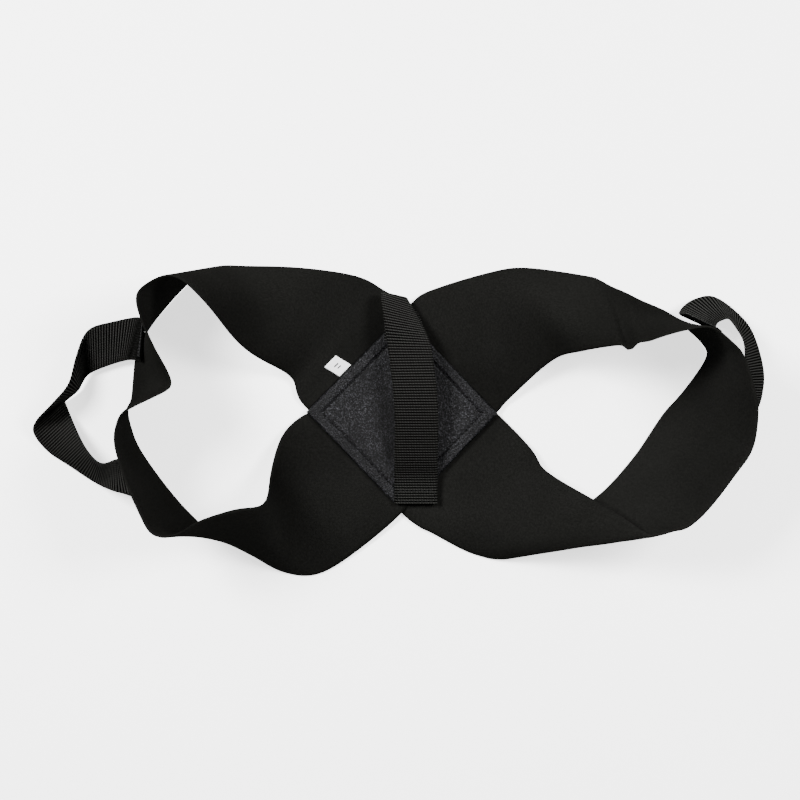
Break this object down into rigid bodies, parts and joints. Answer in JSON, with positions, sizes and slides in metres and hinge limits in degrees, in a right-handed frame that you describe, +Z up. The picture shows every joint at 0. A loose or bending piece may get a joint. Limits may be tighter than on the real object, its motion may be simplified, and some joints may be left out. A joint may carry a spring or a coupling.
{
  "type": "back brace",
  "caption": "Figure-of-eight back brace of wide elastic bands crossing under a stitched leatherette patch, with a webbing strap over the patch and webbing belt loops on the shoulder loops.",
  "frame": {"origin": "centre of the underside of the patch backing, on the plane the brace lies on", "axes": "+X to the right shoulder loop as the brace lies, +Y towards the neck, +Z up from the table"},
  "size_m": [0.5116, 0.2181, 0.0961],
  "materials": {
    "leatherette": "matt pebbled grain",
    "backing_cloth": "plain weave",
    "elastic": "fine knitted elastic",
    "webbing": "cross-ribbed webbing",
    "thread": "sewing thread",
    "tag_cloth": "woven satin",
    "tag_thread": "woven thread"
  },
  "bodies": {
    "patch_assembly": {"patch_front": "leatherette", "patch_hem_upper_left": "leatherette", "patch_hem_upper_right": "leatherette", "patch_hem_lower_right": "leatherette", "patch_hem_lower_left": "leatherette", "patch_backing": "backing_cloth", "patch_stitching": "thread", "elastic_strip_lower": "elastic", "elastic_strip_upper": "elastic", "centre_strap": "webbing", "centre_strap_stitching": "thread"},
    "left_shoulder_loop": {"left_shoulder_band": "elastic", "left_loop_upper_tab": "webbing", "left_loop_lower_tab": "webbing", "left_loop_tacks": "thread"},
    "right_shoulder_loop": {"right_shoulder_band": "elastic", "right_loop_upper_tab": "webbing", "right_loop_lower_tab": "webbing", "right_loop_tacks": "thread"},
    "left_webbing_loop": {"left_belt_loop": "webbing"},
    "right_webbing_loop": {"right_belt_loop": "webbing"},
    "tag": {"size_tag": "tag_cloth", "size_tag_bars": "tag_thread"}
  },
  "joints": [
    {"name": "left_shoulder_fold", "type": "hinge", "parent": "patch_assembly", "child": "left_shoulder_loop", "pos_m": [-0.0722, 0, 0.0165], "axis": [0, 1, 0], "range_deg": [0, 75]},
    {"name": "right_shoulder_fold", "type": "hinge", "parent": "patch_assembly", "child": "right_shoulder_loop", "pos_m": [0.0722, 0, 0.0165], "axis": [0, -1, 0], "range_deg": [0, 75]},
    {"name": "left_belt_loop_swing", "type": "hinge", "parent": "left_shoulder_loop", "child": "left_webbing_loop", "pos_m": [-0.178, 0.049, 0.028], "axis": [-0.042, 0.9849, -0.168], "range_deg": [0, 30]},
    {"name": "right_belt_loop_swing", "type": "hinge", "parent": "right_shoulder_loop", "child": "right_webbing_loop", "pos_m": [0.2, 0.061, 0.03], "axis": [0.1659, -0.9766, 0.1369], "range_deg": [0, 30]},
    {"name": "size_tag_flip", "type": "hinge", "parent": "patch_assembly", "child": "tag", "pos_m": [-0.0402, 0.0288, 0.0054], "axis": [0.7019, 0.7123, 0], "range_deg": [0, 100]}
  ]
}
